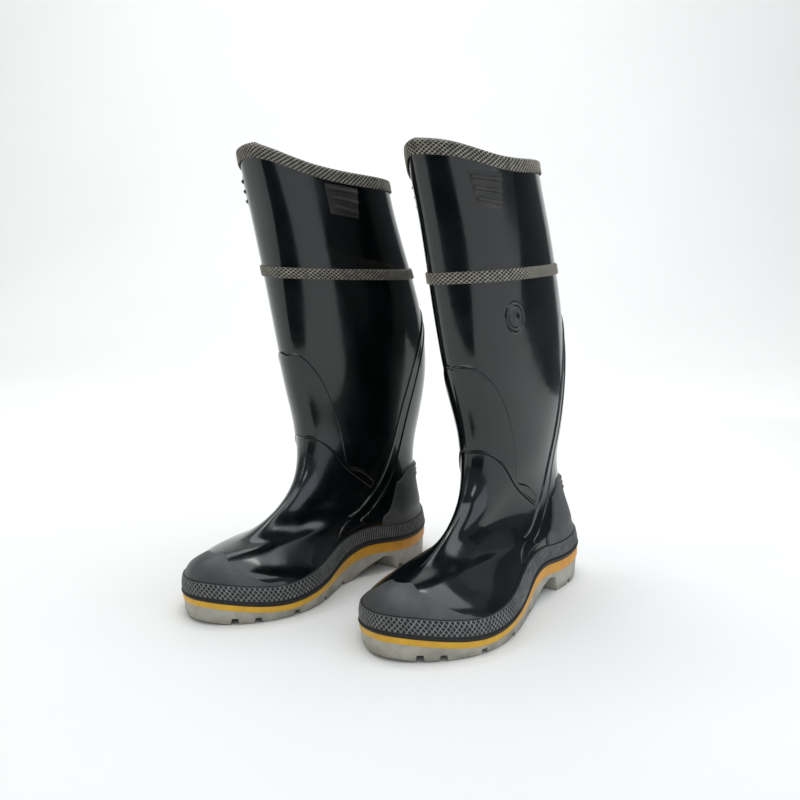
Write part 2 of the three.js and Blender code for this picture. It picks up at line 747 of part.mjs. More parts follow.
function makeBoot(boot) {
  const onSkin = skinCutter(boot, gap);
  const nearFoxing = foxingCutter(boot);
  const nearStrap = strapCutter(boot);
  const pieces = {
    upper: [makeUpper(boot), finishes.glossBlack],
    lining: [makeLining(boot), finishes.lining],
    top_binding: [makeBinding(boot), finishes.knurledTrim],
    calf_band: [makeBand(boot), finishes.knurledTrim],
    foxing: [makeFoxing(boot), finishes.mattRubber],
    toe_bumper: [makeBumper(boot, [onSkin, nearFoxing]), finishes.mattRubber],
    heel_counter: [makeCounter(boot, [onSkin, nearFoxing]), finishes.mattRubber],
    kick_spur: [makeSpur(boot), finishes.mattRubber],
    instep_guard: [makeGuard(boot, [onSkin, nearStrap]), finishes.glossBlack],
    ankle_strap: [makeStrap(boot, [onSkin, nearFoxing]), finishes.glossBlack],
    outer_grip: [makeGrip(boot, grips.outer, [onSkin]), finishes.glossBlack],
    inner_grip: [makeGrip(boot, grips.inner, [onSkin]), finishes.glossBlack],
    emblem: [makeEmblem(boot, [onSkin]), finishes.glossBlack],
    midsole: [makeMidsole(boot), finishes.yellowMidsole],
    outsole: [makeOutsole(boot), finishes.greySole],
    ladder_shank: [makeShank(), finishes.steel],
    steel_plate: [makePlate(boot), finishes.steel],
    insole_board: [makeBoard(boot), finishes.board],
    insole: [makeInsole(boot), finishes.foam],
    steel_toe_cap: [makeToeCap(boot), finishes.steel],
    toe_cap_edge: [makeCapEdge(boot), finishes.foam],
  };
  const group = new THREE.Group();
  for (const [name, [solid, finish]] of Object.entries(pieces)) {
    group.add(toMesh(solid, `${boot.name}_${name}`, finish));
  }
  group.position.set((boot.side * bootSpacing) / 2, (-boot.side * stagger) / 2, 0);
  group.rotation.z = boot.side * toeOut * degrees;
  return group;
}

// The pair stands with its origin on the floor, under the middle of both boots together.
const pair = new THREE.Group();
pair.add(makeBoot(boots.right), makeBoot(boots.left));
const extent = new THREE.Box3().setFromObject(pair, true);
const middle = extent.getCenter(new THREE.Vector3());
pair.position.set(-middle.x, -middle.y, -extent.min.z);
export default pair;
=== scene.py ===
import math
import bmesh
import bpy
import numpy as np
from mathutils import Euler, Matrix, Vector


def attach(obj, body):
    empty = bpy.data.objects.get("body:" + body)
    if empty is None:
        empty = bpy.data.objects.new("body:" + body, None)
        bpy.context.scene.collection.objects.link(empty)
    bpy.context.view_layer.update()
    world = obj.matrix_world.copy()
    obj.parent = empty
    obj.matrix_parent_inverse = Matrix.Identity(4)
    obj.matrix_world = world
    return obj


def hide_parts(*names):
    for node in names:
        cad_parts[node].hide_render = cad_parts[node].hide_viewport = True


# Looks for a pair of knee-high PVC fire boots. Shapes are worked out in millimetres on the boot's own
# skin and put into the frame in metres.
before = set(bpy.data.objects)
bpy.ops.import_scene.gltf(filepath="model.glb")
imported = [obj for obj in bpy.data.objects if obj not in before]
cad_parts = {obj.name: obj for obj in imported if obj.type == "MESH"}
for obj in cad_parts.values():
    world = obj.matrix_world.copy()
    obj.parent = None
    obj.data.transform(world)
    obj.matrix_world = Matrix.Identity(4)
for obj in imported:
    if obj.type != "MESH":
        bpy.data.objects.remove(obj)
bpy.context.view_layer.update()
print("frame loaded:", len(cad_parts), "nodes")

shape = {
    "soleLength": 300,
    "ankle": 142,  # above it the leg leans
    "spacing": 168,  # between the two boots' middles
    "stagger": -22,
    "toeOut": 2.5,  # degrees
    "shift": -0.332,  # from the pair's own middle to the frame's origin, along Y
    "wall": 2.6,
    "flange": 2.6,  # how far the sole stands outside the skin
    "foxingHeight": 15.5,
    "waver": 0.35,  # soft unevenness of a moulded leg
    "rimRise": 4.5,  # how much higher the top edge stands behind the outer side
    "rimInset": 2.2,  # from the top edge down to the upper's own edge, under the binding
}
boots = {
    "right": {"name": "right", "side": -1, "forwards": 1, "outwards": -3.2, "phase": 0.0},
    "left": {"name": "left", "side": 1, "forwards": 3.7, "outwards": -2, "phase": 1.7},
}


def smooth(x, low, high):
    t = np.clip((x - low) / (high - low), 0, 1)
    return t * t * (3 - 2 * t)


def mix(x, y, t):
    return x + (y - x) * t


# Natural cubic spline: second slopes from one linear system, then each span is a cubic.
def spline(xs, ys):
    xs, ys = np.array(xs, float), np.array(ys, float)
    h = np.diff(xs)
    count = len(xs)
    system = np.eye(count)
    slopes = np.zeros(count)
    inner = np.arange(1, count - 1)
    system[inner, inner - 1] = h[:-1]
    system[inner, inner] = 2 * (h[:-1] + h[1:])
    system[inner, inner + 1] = h[1:]
    slopes[inner] = 6 * (np.diff(ys)[1:] / h[1:] - np.diff(ys)[:-1] / h[:-1])
    bend = np.linalg.solve(system, slopes)

    def curve(x):
        x = np.asarray(x, float)
        i = np.clip(np.searchsorted(xs, x) - 1, 0, count - 2)
        u = (xs[i + 1] - x) / h[i]
        v = 1 - u
        lift = (u**3 - u) * bend[i] + (v**3 - v) * bend[i + 1]
        return u * ys[i] + v * ys[i + 1] + lift * h[i] ** 2 / 6

    return curve


# Outline in the middle plane, a as a function of z: two splines over the chord length to the power 0.7.
def outline(points):
    a, z = np.array(points, float).T
    t = np.concatenate([[0], np.cumsum(np.hypot(np.diff(a), np.diff(z)) ** 0.7)])
    fine = np.linspace(0, t[-1], 301)
    heights = np.maximum.accumulate(spline(t, z)(fine) + np.arange(301) * 1e-7)
    places = spline(t, a)(fine)
    return lambda z: np.interp(z, heights, places)


frontLine = outline([
    [298, 12], [299, 27], [298, 42], [284, 53.5], [254, 58.5], [211, 72.5], [172, 103],
    [165, 142], [173, 176], [184, 222], [194.5, 280], [205, 332], [219, 385], [225, 407],
])
backLine = outline([
    [0, 20], [2, 42], [13, 62], [22.5, 88], [21, 118], [12.5, 155], [8.5, 190],
    [16, 235], [34, 280], [53.5, 325], [68, 365], [73, 385],
])
soleStations = [-1, -0.75, -0.4, 0, 0.3, 0.6, 0.85, 1]
soleOuter = spline(soleStations, [68, 61.5, 47.5, 49, 62.5, 75, 76, 65])
soleInner = spline(soleStations, [51, 60, 47, 34.5, 52.5, 67, 69, 63])
legStations = [35, 65, 95, 135, 175, 225, 275, 325, 380]
legOuter = spline(legStations, [46, 39, 36.5, 39.5, 43.5, 48, 52, 54.5, 54])
legInner = spline(legStations, [47, 40, 36, 38.5, 43.5, 47, 49, 47, 45])
soleLine = spline([0, 40, 80, 115, 155, 200, 250, 300], [32.5, 31.5, 30.5, 32.5, 25, 17.5, 14.3, 23])
topEdge = spline([0, 30, 60, 90, 120, 150, 180, 210], [402, 397.5, 387, 380, 376.5, 373.5, 372, 373.5])


# A point of the skin at phi degrees round the leg (0 shin, 90 outer side) and height z: an oval whose
# front and back come from the two outlines and whose half width runs from the sole's to the leg's.
def skinPoint(boot, phi, z):
    c, s = np.cos(np.radians(phi)), np.sin(np.radians(phi))
    front, back = frontLine(z), backLine(z)
    leg = smooth(z, 32, 132)
    fall = 1 - 0.9 * smooth(z, 24, 80) * smooth(c, -0.5, 0.6)
    sole = np.where(s >= 0, soleOuter(c), soleInner(c)) * fall
    tall = np.maximum(z, 35)
    shaft = np.where(s >= 0, legOuter(tall), legInner(tall) * (1 - 0.4 * c))
    a = (front + back) / 2 + (front - back) / 2 * c
    b = mix(sole, shaft, leg) * s + mix(-4, 2.6, np.clip((z - 60) / 330, 0, 1)) * leg
    share = smooth(z, 110, 230)
    forwards = np.radians(boot["forwards"]) * share
    outwards = np.radians(boot["outwards"]) * share
    rise = z - shape["ankle"]
    x = boot["side"] * (b + rise * np.tan(outwards))
    y = shape["soleLength"] / 2 - (a + rise * np.tan(forwards))
    return np.stack([x, y, z - (a - 90) * np.sin(forwards) - b * np.sin(outwards)], -1)


# The skin moved along its normal; the waver is two crossed sine waves that grow up the leg.
def onSkin(boot, phi, z, offset):
    phi, z, offset = np.broadcast_arrays(np.asarray(phi, float), z, offset)
    around = skinPoint(boot, phi + 0.5, z) - skinPoint(boot, phi - 0.5, z)
    up = skinPoint(boot, phi, z + 0.5) - skinPoint(boot, phi, z - 0.5)
    normal = np.cross(around, up) * boot["side"]
    normal /= np.linalg.norm(normal, axis=-1, keepdims=True)
    turn = np.radians(phi)
    waver = np.sin(3 * turn + z / 70 + boot["phase"]) + np.sin(5 * turn - z / 45 + 2 * boot["phase"])
    depth = offset + shape["waver"] * waver * smooth(z, 60, 200)
    return skinPoint(boot, phi, z) + normal * depth[..., None]


def inFrame(boot, points):
    turn = math.radians(boot["side"] * shape["toeOut"])
    x = points[..., 0] * math.cos(turn) - points[..., 1] * math.sin(turn)
    y = points[..., 0] * math.sin(turn) + points[..., 1] * math.cos(turn)
    x = x + boot["side"] * shape["spacing"] / 2
    y = y - boot["side"] * shape["stagger"] / 2 + shape["shift"]
    return np.stack([x, y, points[..., 2]], -1) / 1000


def soleEdge(phi):
    z = np.full(np.shape(phi), 22.0)
    for _ in range(6):
        z = soleLine(forwardAt(phi, z))
    return z


def forwardAt(phi, z):
    front, back = frontLine(z), backLine(z)
    return (front + back) / 2 + (front - back) / 2 * np.cos(np.radians(phi))


def foxingTop(phi):
    return soleEdge(phi) + shape["foxingHeight"]


def rim(phi):
    turn = (phi + 180) % 360 - 180
    rise = shape["rimRise"] * smooth(turn, 60, 120) * (1 - smooth(turn, 150, 180))
    return topEdge(np.abs(turn)) + rise - shape["rimInset"]


# Angles round the boot that are evenly spaced along a line at some height on the skin.
def evenTurns(boot, height, offset, count):
    phi = np.linspace(-180, 180, 2001)
    line = onSkin(boot, phi, height(phi), offset)
    length = np.concatenate([[0], np.cumsum(np.linalg.norm(np.diff(line, axis=0), axis=1))])
    return np.interp(np.arange(count) / count * length[-1], length, phi), length[-1]


# A grid of points (rows by columns) becomes quads; closed grids join their ends. Points closer than
# merge are one point, and the faces are turned outwards.
def gridPiece(name, boot, grid, material, nodes, relief=None, closeRows=False, sharp=40):
    rows, cols = grid.shape[:2]
    index = np.arange(rows * cols).reshape(rows, cols)
    index = np.hstack([index, index[:, :1]])
    if closeRows:
        index = np.vstack([index, index[:1]])
    corners = [index[:-1, :-1], index[:-1, 1:], index[1:, 1:], index[1:, :-1]]
    quads = np.stack(corners, -1).reshape(-1, 4)
    fullName = f"{boot['name']}{name[0].upper()}{name[1:]}"
    mesh = bpy.data.meshes.new(fullName)
    mesh.vertices.add(rows * cols)
    mesh.vertices.foreach_set("co", inFrame(boot, grid).astype(np.float32).ravel())
    mesh.loops.add(quads.size)
    mesh.loops.foreach_set("vertex_index", quads.astype(np.int32).ravel())
    mesh.polygons.add(len(quads))
    mesh.polygons.foreach_set("loop_start", np.arange(0, quads.size, 4, dtype=np.int32))
    mesh.update(calc_edges=True)
    if relief is not None:
        height = mesh.attributes.new("relief", "FLOAT", "POINT")
        height.data.foreach_set("value", relief.astype(np.float32).ravel())
    work = bmesh.new()
    work.from_mesh(mesh)
    bmesh.ops.remove_doubles(work, verts=work.verts, dist=1e-5)
    bmesh.ops.dissolve_degenerate(work, edges=work.edges, dist=1e-6)
    openEdges = [edge for edge in work.edges if edge.is_boundary]
    if openEdges:
        bmesh.ops.holes_fill(work, edges=openEdges, sides=0)
    bmesh.ops.recalc_face_normals(work, faces=work.faces)
    work.to_mesh(mesh)
    work.free()
    mesh.polygons.foreach_set("use_smooth", np.ones(len(mesh.polygons), bool))
    mesh.set_sharp_from_angle(angle=math.radians(sharp))
    mesh.materials.append(material)
    piece = bpy.data.objects.new(fullName, mesh)
    bpy.context.scene.collection.objects.link(piece)
    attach(piece, f"{boot['name']}_boot")
    if nodes:
        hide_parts(*[f"{boot['name']}_{node}" for node in nodes])
    return piece


# A patch lying on the skin: phi, z and height are grids. Its underside lies inside the wall and comes
# up to meet the top at both ends, so that it is closed.
def patch(name, boot, phi, z, height, material, nodes, relief=None, sharp=40):
    top = onSkin(boot, phi, z, height)
    under = onSkin(boot, phi, z, np.minimum(height, 0) - 0.8)
    under[0], under[-1] = top[0], top[-1]
    grid = np.concatenate([top, under[:, ::-1]], axis=1)
    if relief is not None:
        relief = np.concatenate([relief, relief[:, ::-1] * 0], axis=1)
    return gridPiece(name, boot, grid, material, nodes, relief, sharp=sharp)


# Shares from 0 to 1 that lie closer together at both ends.
def bunched(count):
    t = np.linspace(0, 1, count)
    return t - 0.9 * np.sin(2 * np.pi * t) / (2 * np.pi)


# Distance in millimetres from each point of a patch to its nearest edge, along the grid's lines.
def toEdge(boot, phi, z):
    points = onSkin(boot, phi, z, 0)
    near = np.full(phi.shape, 1e3)
    for axis in (0, 1):
        steps = np.linalg.norm(np.diff(points, axis=axis), axis=-1)
        start = np.zeros(phi.shape)
        beyond = np.s_[1:] if axis == 0 else np.s_[:, 1:]
        start[beyond] = np.cumsum(steps, axis)
        total = start[-1:] if axis == 0 else start[:, -1:]
        near = np.minimum(near, np.minimum(start, total - start))
    return near


# A band of one width along a path of [phi, z] points; the way across is square to the path in the
# skin's own metric. Returns phi and z grids and the signed distance across.
def bandAlong(boot, path, width, along, across):
    stops = np.arange(len(path))
    phiOf = spline(stops, [p for p, _ in path])
    zOf = spline(stops, [z for _, z in path])
    t = along * (len(path) - 1)
    phi, z = phiOf(t), zOf(t)
    here = skinPoint(boot, phi, z)
    ahead = skinPoint(boot, phiOf(t + 0.01), zOf(t + 0.01)) - here
    around = (skinPoint(boot, phi + 0.5, z) - here) * 2
    up = (skinPoint(boot, phi, z + 0.5) - here) * 2
    dot = lambda p, q: (p * q).sum(-1)
    byPhi, byZ = -dot(up, ahead), dot(around, ahead)
    step = byPhi[:, None] * around + byZ[:, None] * up
    length = np.sqrt(dot(step, step))
    reach = (across - 0.5) * width
    phi = phi[:, None] + (byPhi / length)[:, None] * reach
    z = z[:, None] + (byZ / length)[:, None] * reach
    return phi, z, np.broadcast_to(reach, phi.shape)


# Raised crossed lines: how near u + v or u - v is to a whole number, as a rounded ridge from 0 to 1.
def crossedRidges(u, v, width):
    near = lambda w: np.abs(w - np.round(w))
    d = np.minimum(near(u + v), near(u - v))
    return 1 - smooth(d, 0, width)


def linear(hexColour):
    parts = [int(hexColour[i:i + 2], 16) / 255 for i in (1, 3, 5)]
    return [*[p / 12.92 if p <= 0.04045 else ((p + 0.055) / 1.055) ** 2.4 for p in parts], 1]


# Gives a node's inputs, by name or number, values or sockets to link from.
def setInputs(tree, node, inputs):
    for key, value in inputs.items():
        if isinstance(value, bpy.types.NodeSocket):
            tree.links.new(value, node.inputs[key])
        else:
            node.inputs[key].default_value = value


# Adds a node of any kind with its settings and links and gives back one output. Stops are a colour
# ramp's [place, colour] pairs.
def addNode(tree, kind, inputs=None, output=0, stops=(), **settings):
    node = tree.nodes.new("ShaderNode" + kind)
    for key, value in settings.items():
        setattr(node, key, value)
    setInputs(tree, node, inputs or {})
    for i, (place, colour) in enumerate(stops):
        node.color_ramp.elements[i].position = place
        node.color_ramp.elements[i].color = linear(colour)
    return node.outputs[output]


def newMaterial(name):
    material = bpy.data.materials.new(name)
    material.use_nodes = True
    tree = material.node_tree
    return material, tree, tree.nodes["Principled BSDF"], addNode(tree, "TexCoord", output="Object")


perMm = 1000  # patterns read metres, so a scale of perMm / size repeats about once every size mm


# Injection-moulded gloss PVC: a mirror-like skin with a faint orange peel from the mould, a few
# finger smears and a thin haze of dust.
def glossPvcMaterial():
    look = {
        "black": "#070b0c", "dusty": "#121a1d", "peelMm": 9, "smearMm": 38, "dustMm": 1.6,
        "rough": [0.1, 0.24], "peel": 0.12, "coat": 0.25, "coatRough": 0.06,
    }
    material, tree, shader, place = newMaterial("mouldedGlossPvc")
    smear = addNode(tree, "TexNoise", {
        "Vector": place, "Scale": perMm / look["smearMm"], "Detail": 5, "Distortion": 0.6,
    }, "Fac")
    dust = addNode(tree, "TexNoise", {"Vector": place, "Scale": perMm / look["dustMm"], "Detail": 2}, "Fac")
    both = addNode(tree, "Math", {0: smear, 1: dust}, operation="MULTIPLY")
    colour = addNode(tree, "ValToRGB", {"Fac": both}, stops=[(0.2, look["black"]), (0.5, look["dusty"])])
    rough = addNode(tree, "MapRange", {
        "Value": smear, "From Min": 0.3, "From Max": 0.75,
        "To Min": look["rough"][0], "To Max": look["rough"][1],
    })
    peel = addNode(tree, "TexNoise", {"Vector": place, "Scale": perMm / look["peelMm"], "Detail": 1}, "Fac")
    bump = addNode(tree, "Bump", {"Height": peel, "Strength": look["peel"], "Distance": 0.0006})
    setInputs(tree, shader, {
        "IOR": 1.52, "Coat Weight": look["coat"], "Coat Roughness": look["coatRough"],
        "Base Color": colour, "Roughness": rough, "Normal": bump,
    })
    return material


# Matt moulded rubber: fine spark-eroded grain, slightly greyer where dust sits.
def mattRubberMaterial(name, dark, light):
    look = {
        "dark": dark, "light": light, "grainMm": 0.7,
        "cloudMm": 24, "rough": [0.42, 0.62], "grain": 0.25,
    }
    material, tree, shader, place = newMaterial(name)
    cloud = addNode(tree, "TexNoise", {
        "Vector": place, "Scale": perMm / look["cloudMm"], "Detail": 4,
    }, "Fac")
    grain = addNode(tree, "TexNoise", {
        "Vector": place, "Scale": perMm / look["grainMm"], "Detail": 2,
    }, "Fac")
    colour = addNode(tree, "ValToRGB", {"Fac": cloud}, stops=[(0.35, look["dark"]), (0.7, look["light"])])
    rough = addNode(tree, "MapRange", {
        "Value": grain, "To Min": look["rough"][0], "To Max": look["rough"][1],
    })
    bump = addNode(tree, "Bump", {"Height": grain, "Strength": look["grain"], "Distance": 0.0003})
    setInputs(tree, shader, {"IOR": 1.5, "Base Color": colour, "Roughness": rough, "Normal": bump})
    return material


# Knurled rubber: the relief attribute is 0 in the hollows and 1 on the raised lines. The colour paints shade
# into the hollows and a highlight along the raised lines; dust breaks that up.
def knurledMaterial(name, hollow, raised, rough):
    look = {"hollow": hollow, "raised": raised, "dustMm": 5, "rough": [rough - 0.1, rough + 0.1]}
    material, tree, shader, place = newMaterial(name)
    relief = addNode(tree, "Attribute", output="Fac", attribute_name="relief")
    dust = addNode(tree, "TexNoise", {"Vector": place, "Scale": perMm / look["dustMm"], "Detail": 4}, "Fac")
    spread = addNode(tree, "MapRange", {"Value": dust, "From Min": 0.3, "From Max": 0.7, "To Min": 0.6})
    # Painted light: the relief sets how much painted highlight the raised lines get against painted shade in
    # the hollows.
    paintedLightShare = addNode(tree, "Math", {0: relief, 1: spread}, operation="MULTIPLY")
    colour = addNode(tree, "ValToRGB", {"Fac": paintedLightShare}, stops=[(0.2, look["hollow"]), (0.85, look["raised"])])
    roughness = addNode(tree, "MapRange", {
        "Value": dust, "To Min": look["rough"][0], "To Max": look["rough"][1],
    })
    setInputs(tree, shader, {"IOR": 1.5, "Base Color": colour, "Roughness": roughness})
    return material


# Moulded yellow rubber: satin, more orange and deeper towards the heel, with slight mottling.
def midsoleMaterial():
    look = {
        "toe": "#dfaa2a", "heel": "#dc9418", "fromY": -0.06,
        "toY": 0.1, "mottleMm": 12, "rough": [0.36, 0.55],
    }
    material, tree, shader, place = newMaterial("mouldedYellowRubber")
    along = addNode(tree, "SeparateXYZ", {"Vector": place}, "Y")
    back = addNode(tree, "MapRange", {"Value": along, "From Min": look["fromY"], "From Max": look["toY"]})
    mottle = addNode(tree, "TexNoise", {
        "Vector": place, "Scale": perMm / look["mottleMm"], "Detail": 5,
    }, "Fac")
    colour = addNode(tree, "ValToRGB", {"Fac": back}, stops=[(0, look["toe"]), (1, look["heel"])])
    shade = addNode(tree, "MapRange", {
        "Value": mottle, "From Min": 0.3, "From Max": 0.7, "To Min": 0.86, "To Max": 1.06,
    })
    tinted = addNode(tree, "VectorMath", {0: colour, "Scale": shade}, operation="SCALE")
    rough = addNode(tree, "MapRange", {
        "Value": mottle, "To Min": look["rough"][0], "To Max": look["rough"][1],
    })
    setInputs(tree, shader, {"IOR": 1.5, "Base Color": tinted, "Roughness": rough})
    return material


# Moulded grey rubber outsole: matt, a little darker towards the ground.
def outsoleMaterial():
    look = {
        "paleTone": "#b3b0a5", "darkTone": "#8d897d", "grainMm": 0.9,
        "cloudMm": 16, "darkenBelow": 0.012, "darkening": 0.3,
    }
    material, tree, shader, place = newMaterial("mouldedGreyRubber")
    cloud = addNode(tree, "TexNoise", {
        "Vector": place, "Scale": perMm / look["cloudMm"], "Detail": 6,
    }, "Fac")
    height = addNode(tree, "SeparateXYZ", {"Vector": place}, "Z")
    # The colour gets darker over the lowest few millimetres, towards the ground.
    low = addNode(tree, "MapRange", {
        "Value": height, "From Min": look["darkenBelow"], "From Max": 0.0, "To Max": look["darkening"],
    })
    cloudAndDark = addNode(tree, "Math", {0: cloud, 1: low}, operation="ADD")
    colour = addNode(tree, "ValToRGB", {"Fac": cloudAndDark}, stops=[(0.42, look["paleTone"]), (0.85, look["darkTone"])])
    grain = addNode(tree, "TexNoise", {
        "Vector": place, "Scale": perMm / look["grainMm"], "Detail": 2,
    }, "Fac")
    bump = addNode(tree, "Bump", {"Height": grain, "Strength": 0.2, "Distance": 0.0003})
    rough = addNode(tree, "MapRange", {"Value": cloud, "To Min": 0.5, "To Max": 0.75})
    setInputs(tree, shader, {"IOR": 1.5, "Base Color": colour, "Roughness": rough, "Normal": bump})
    return material


# Knitted polyester: fine wales crossed by courses, with thread spacing drawn at 2 or 3 mm, coarser than
# the real one, so that they show.
def knitMaterial(name, thread, between, waleMm):
    look = {"thread": thread, "between": between, "waleMm": waleMm, "rough": 0.9, "sheen": 0.2}
    material, tree, shader, place = newMaterial(name)
    bands = {"Vector": place, "Scale": perMm / look["waleMm"] / 20 * math.pi, "Distortion": 0.4}
    courses = addNode(tree, "TexWave", bands, "Fac", bands_direction="Z")
    wales = addNode(tree, "TexWave", bands, "Fac", bands_direction="DIAGONAL")
    cloth = addNode(tree, "Math", {0: courses, 1: wales}, operation="MULTIPLY")
    colour = addNode(tree, "ValToRGB", {"Fac": cloth}, stops=[(0, look["between"]), (0.7, look["thread"])])
    bump = addNode(tree, "Bump", {"Height": cloth, "Strength": 0.4, "Distance": 0.0005})
    setInputs(tree, shader, {
        "IOR": 1.45, "Sheen Weight": look["sheen"], "Roughness": look["rough"],
        "Base Color": colour, "Normal": bump,
    })
    return material


# Pressed sheet steel: faint rolling lines along the sheet.
def steelMaterial():
    look = {"bright": "#a7aaac", "dull": "#85888b", "lineMm": 0.8, "rough": [0.28, 0.45]}
    material, tree, shader, place = newMaterial("pressedSteel")
    drawn = addNode(tree, "Mapping", {"Vector": place, "Scale": (1, 0.05, 1)})
    lines = addNode(tree, "TexNoise", {"Vector": drawn, "Scale": perMm / look["lineMm"], "Detail": 3}, "Fac")
    colour = addNode(tree, "ValToRGB", {"Fac": lines}, stops=[(0.3, look["dull"]), (0.7, look["bright"])])
    rough = addNode(tree, "MapRange", {
        "Value": lines, "To Min": look["rough"][0], "To Max": look["rough"][1],
    })
    setInputs(tree, shader, {"Metallic": 1, "Base Color": colour, "Roughness": rough})
    return material


# Pressed fibre board: short pale and dark fibres.
def boardMaterial():
    look = {"pale": "#b9a684", "dark": "#8f7d5d", "fibreMm": 1.5, "rough": 0.85}
    material, tree, shader, place = newMaterial("pressedFibreBoard")
    fibres = addNode(tree, "TexNoise", {
        "Vector": place, "Scale": perMm / look["fibreMm"], "Detail": 5, "Distortion": 1.5,
    }, "Fac")
    colour = addNode(tree, "ValToRGB", {"Fac": fibres}, stops=[(0.3, look["dark"]), (0.7, look["pale"])])
    setInputs(tree, shader, {"Base Color": colour, "Roughness": look["rough"]})
    return material


glossPvc = glossPvcMaterial()
mattRubber = mattRubberMaterial("sparkGrainRubber", "#3a3b3c", "#4e4f50")
grainPvc = mattRubberMaterial("sparkGrainPvc", "#2b2a27", "#403e39")
# The knurled trims paint a highlight on their raised lines and shade in their hollows: the pale colour is
# painted highlight, the dark one painted shade.
trimRubber = knurledMaterial("knurledTrimRubber", "#070706", "#e0d8c6", 0.7)
foxingRubber = knurledMaterial("knurledFoxingRubber", "#0c0c0c", "#8e8f8f", 0.6)
yellowRubber = midsoleMaterial()
greyRubber = outsoleMaterial()
liningKnit = knitMaterial("knittedLining", "#8d8a83", "#56544f", 2)
insoleFelt = knitMaterial("needledInsoleFelt", "#4a4c50", "#2b2c2f", 3)
steel = steelMaterial()
fibreBoard = boardMaterial()
print("materials made")


# The upper is one shell: outside from the sole to the rim, over the rim, and down inside the wall.
# Rows lie closer together over the foot, as the share of the rise to the power 1.7.
def makeUpper(boot):
    size = {"columns": 288, "rows": 190, "insideRows": 30}
    phi = np.linspace(-180, 180, size["columns"], endpoint=False)[:, None]
    share = np.linspace(0, 1, size["rows"]) ** 1.7
    low, high = soleEdge(phi) - 1.5, rim(phi)
    outside = onSkin(boot, phi, mix(low, high, share), 0)
    back = np.linspace(1, 0, size["insideRows"]) ** 1.4
    inside = onSkin(boot, phi, mix(low, high, back), -shape["wall"])
    grid = np.concatenate([outside, inside], axis=1)
    return gridPiece("upper", boot, grid, glossPvc, ["upper"], closeRows=True)


# The lining follows the wall inside, deeper over the toes to clear the steel cap.
def makeLining(boot):
    size = {
        "columns": 160,
        "rows": 110,
        "thickness": 1.4,
        "gap": 3.2,  # from the skin to the lining
        "capRoom": 2.2,  # more of it over the toes, where the steel cap lies
    }
    phi = np.linspace(-180, 180, size["columns"], endpoint=False)[:, None]
    share = np.linspace(0, 1, size["rows"]) ** 1.7
    z = mix(soleEdge(phi) + 5, rim(phi) - 0.5, share)
    overCap = smooth(forwardAt(phi, z), 174, 204) * (1 - smooth(z, 100, 125))
    depth = size["gap"] + overCap * size["capRoom"]
    outer = onSkin(boot, phi, z, -depth)
    inner = onSkin(boot, phi, z, -depth - size["thickness"])
    grid = np.concatenate([outer, inner[:, ::-1]], axis=1)
    return gridPiece("lining", boot, grid, liningKnit, ["lining"], closeRows=True)


# A trim runs round the boot: profile holds [height above base, offset, knurled share] points. Raised
# crossed lines stand out from it by the ridge height where the share is 1.
def trim(name, boot, base, profile, cells, cellHigh, ridge, material, node, samples=4):
    height, offset, share = np.array(profile, float).T
    phi, _ = evenTurns(boot, lambda p: base(p) + height.mean(), offset.max(), cells * samples)
    u = np.arange(cells * samples)[:, None] / samples
    lengths = np.concatenate([[0], np.cumsum(np.hypot(np.diff(height), np.diff(offset)))])
    relief = crossedRidges(u * 0.5, lengths[None] / cellHigh * 0.5, 0.2) * share
    z = base(phi)[:, None] + height
    grid = onSkin(boot, phi[:, None], z, offset + ridge * relief)
    return gridPiece(name, boot, grid, material, [node], relief, closeRows=True, sharp=75)


def makeBinding(boot):
    size = {"high": 9.2, "out": 1.6, "inner": -6.6, "cell": 1.55, "cells": 208, "rise": 2.1, "ridge": 0.5}
    rows = int(round(size["high"] / size["cell"])) * 4
    up = np.linspace(-size["high"], 0, rows + 1)
    face = [[h, size["out"] * smooth(h, -size["high"] - 0.6, -size["high"] + 0.8), 1] for h in up]
    turn = np.linspace(0, np.pi, 26)[1:-1]
    middle, half = (size["out"] + size["inner"]) / 2, (size["out"] - size["inner"]) / 2
    over = [[size["rise"] * math.sin(t), middle + half * math.cos(t), 1] for t in turn]
    down = [[-h, size["inner"], 1] for h in np.linspace(0, size["high"], rows + 1)]
    hidden = [[-size["high"], -5.3, 0], [-1, -5.2, 0], [0.3, -5.1, 0], [0.3, 0.2, 0], [-1, 0.2, 0]]
    return trim("topBinding", boot, rim, face + over + down + hidden, size["cells"], size["cell"],
                size["ridge"], trimRubber, "top_binding")


band = {
    "level": 291,  # the band's middle, on average round the leg
    "tilt": 3,  # and how much higher it is over the shin
    "high": 9.6,
    "out": 1.5,
    "cell": 1.55,
    "cells": 200,
    "ridge": 0.45,
}


def bandMiddle(phi):
    return band["level"] + band["tilt"] * np.cos(np.radians(phi))


def makeBand(boot):
    edge = band["high"] / 2
    face = [[h, band["out"] * smooth(edge - abs(h), -0.5, 0.9), 1] for h in np.linspace(-edge, edge, 31)]
    hidden = [[edge, -0.6, 0], [-edge, -0.6, 0]]
    return trim("calfBand", boot, bandMiddle, face + hidden, band["cells"], band["cell"], band["ridge"],
                trimRubber, "calf_band")


